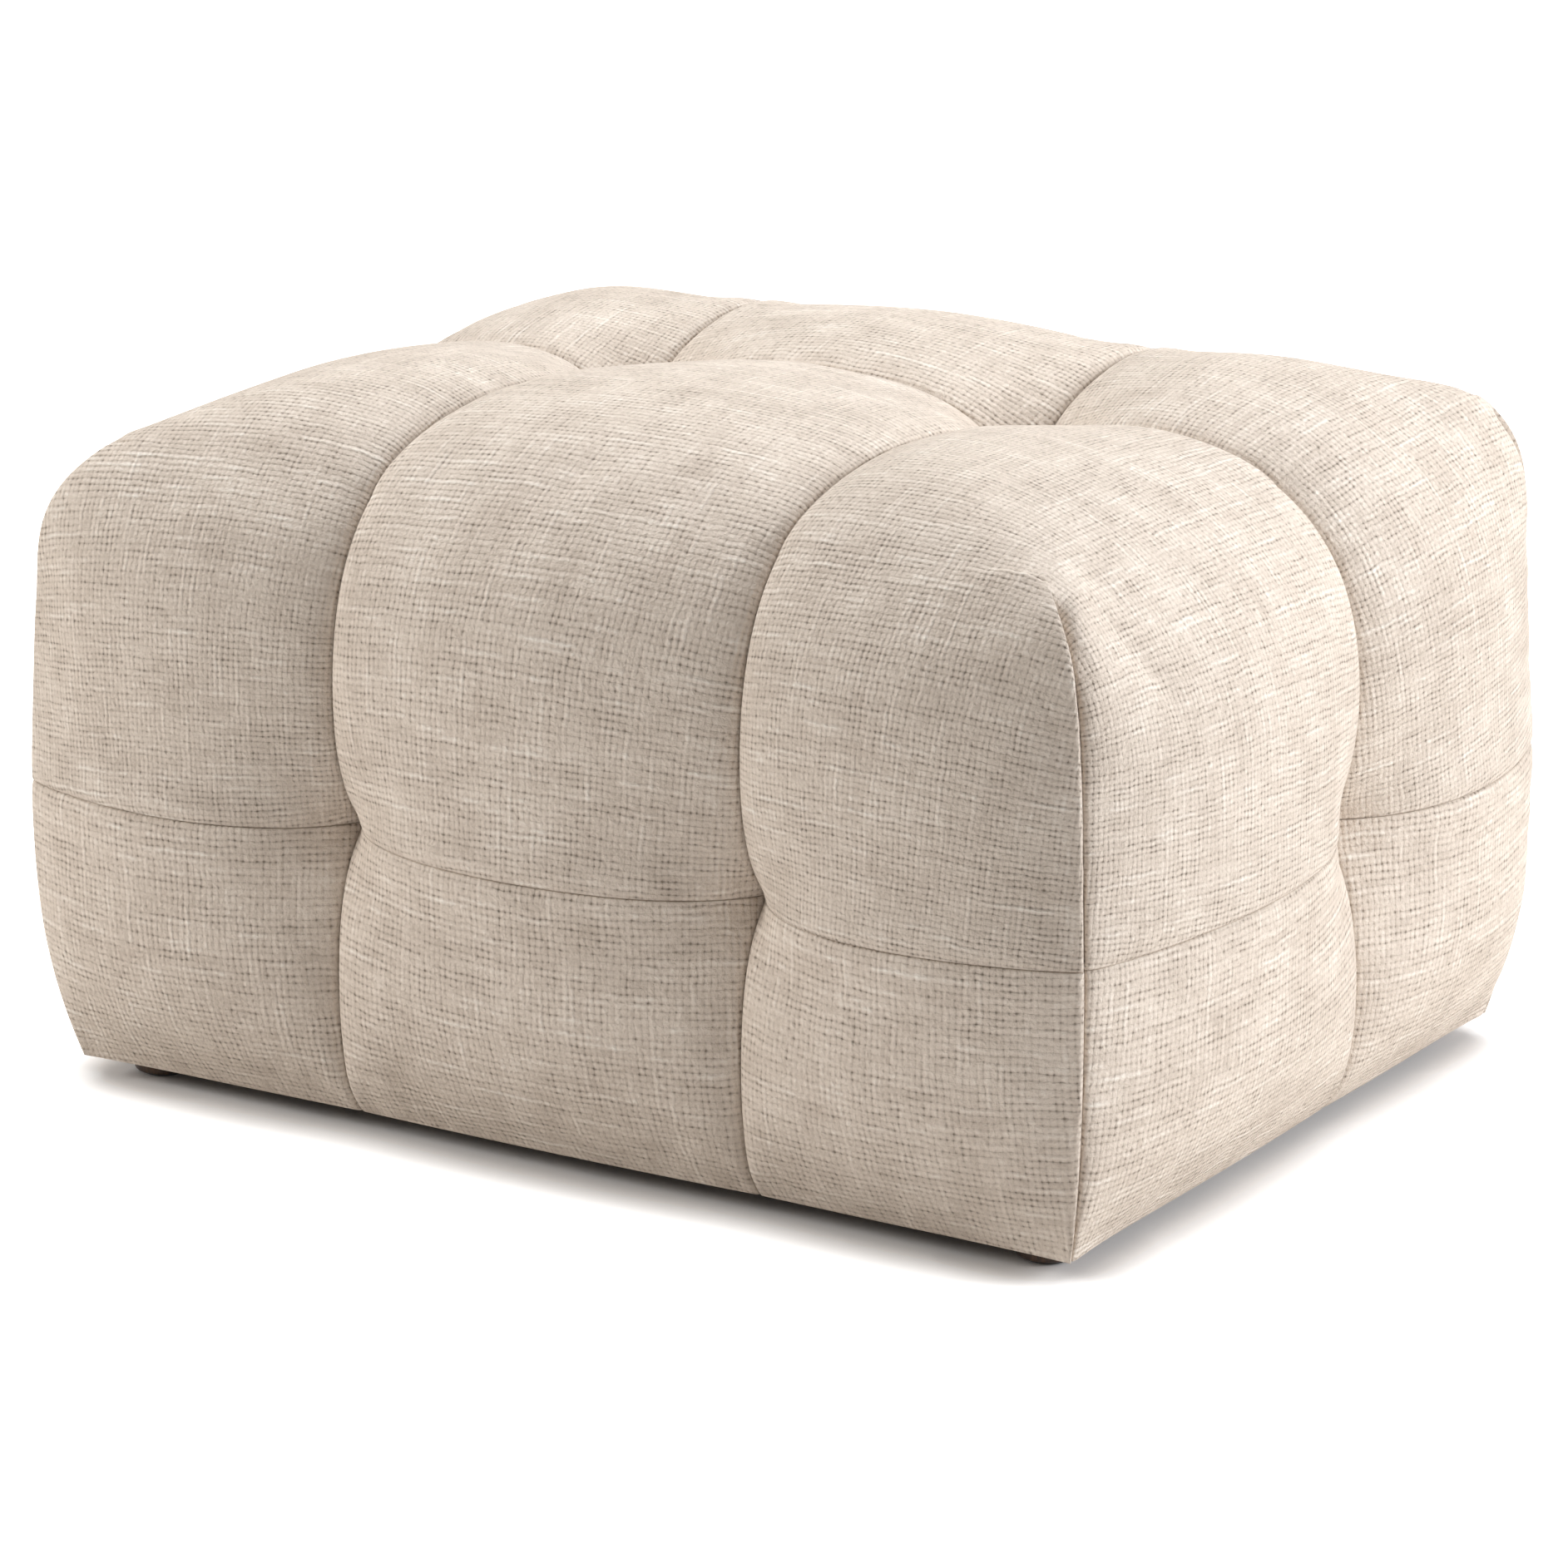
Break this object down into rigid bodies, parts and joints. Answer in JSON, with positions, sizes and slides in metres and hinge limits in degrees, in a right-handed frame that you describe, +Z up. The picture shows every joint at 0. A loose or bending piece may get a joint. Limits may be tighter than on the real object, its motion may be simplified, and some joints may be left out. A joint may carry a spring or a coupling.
{
  "type": "tufted pouf",
  "caption": "Rectangular upholstered pouf with a tufted slub-cloth cover of puffed cells, a foam core on a webbed wooden frame, and low turned feet.",
  "frame": {"origin": "on the ground under the middle of the pouf", "axes": "+X along the long side, -Y towards the front long side, +Z up"},
  "size_m": [0.798, 0.6156, 0.4463],
  "materials": {
    "cover_cloth": "cream slub chenille, matt with a soft nap",
    "foam": "open-cell polyurethane foam",
    "hessian": "coarse plain-weave jute",
    "webbing": "woven elastic webbing",
    "hardboard": "smooth-faced hardboard",
    "pine": "planed raw pine",
    "zinc_steel": "bright zinc plate",
    "twine": "waxed twine",
    "black_plastic": "moulded, matt",
    "dust_cloth": "spun-bonded non-woven",
    "dark_wood": "turned beech, dark stain, satin lacquer"
  },
  "bodies": {
    "root": {"upper_pad_front_left": "cover_cloth", "upper_pad_front_middle": "cover_cloth", "upper_pad_front_right": "cover_cloth", "upper_pad_back_left": "cover_cloth", "upper_pad_back_middle": "cover_cloth", "upper_pad_back_right": "cover_cloth", "lower_pad_front_left": "cover_cloth", "lower_pad_front_middle": "cover_cloth", "lower_pad_front_right": "cover_cloth", "lower_pad_back_left": "cover_cloth", "lower_pad_back_middle": "cover_cloth", "lower_pad_back_right": "cover_cloth", "lower_pad_left_front": "cover_cloth", "lower_pad_left_back": "cover_cloth", "lower_pad_right_front": "cover_cloth", "lower_pad_right_back": "cover_cloth", "seat_foam_block": "foam", "side_foam_front": "foam", "side_foam_back": "foam", "side_foam_left": "foam", "side_foam_right": "foam", "hessian_sheet": "hessian", "webbing_lengthwise": "webbing", "webbing_crosswise": "webbing", "lining_board_front": "hardboard", "lining_board_back": "hardboard", "lining_board_left": "hardboard", "lining_board_right": "hardboard", "deck_rail_front": "pine", "deck_rail_back": "pine", "deck_rail_left": "pine", "deck_rail_right": "pine", "corner_post_front_left": "pine", "corner_post_front_right": "pine", "corner_post_back_left": "pine", "corner_post_back_right": "pine", "base_rail_front": "pine", "base_rail_back": "pine", "base_rail_left": "pine", "base_rail_right": "pine", "base_cross_rail": "pine", "rail_dowels": "pine", "frame_screws": "zinc_steel", "side_tuft_cords": "twine", "seat_tuft_cords": "twine", "side_tuft_washers": "black_plastic", "seat_tuft_bars": "hardboard", "dust_cover": "dust_cloth", "dust_cover_staples": "zinc_steel", "foot_front_left": "dark_wood", "foot_front_right": "dark_wood", "foot_back_left": "dark_wood", "foot_back_right": "dark_wood", "foot_glides": "black_plastic", "foot_bolts": "zinc_steel", "foot_nuts": "zinc_steel"}
  },
  "joints": []
}
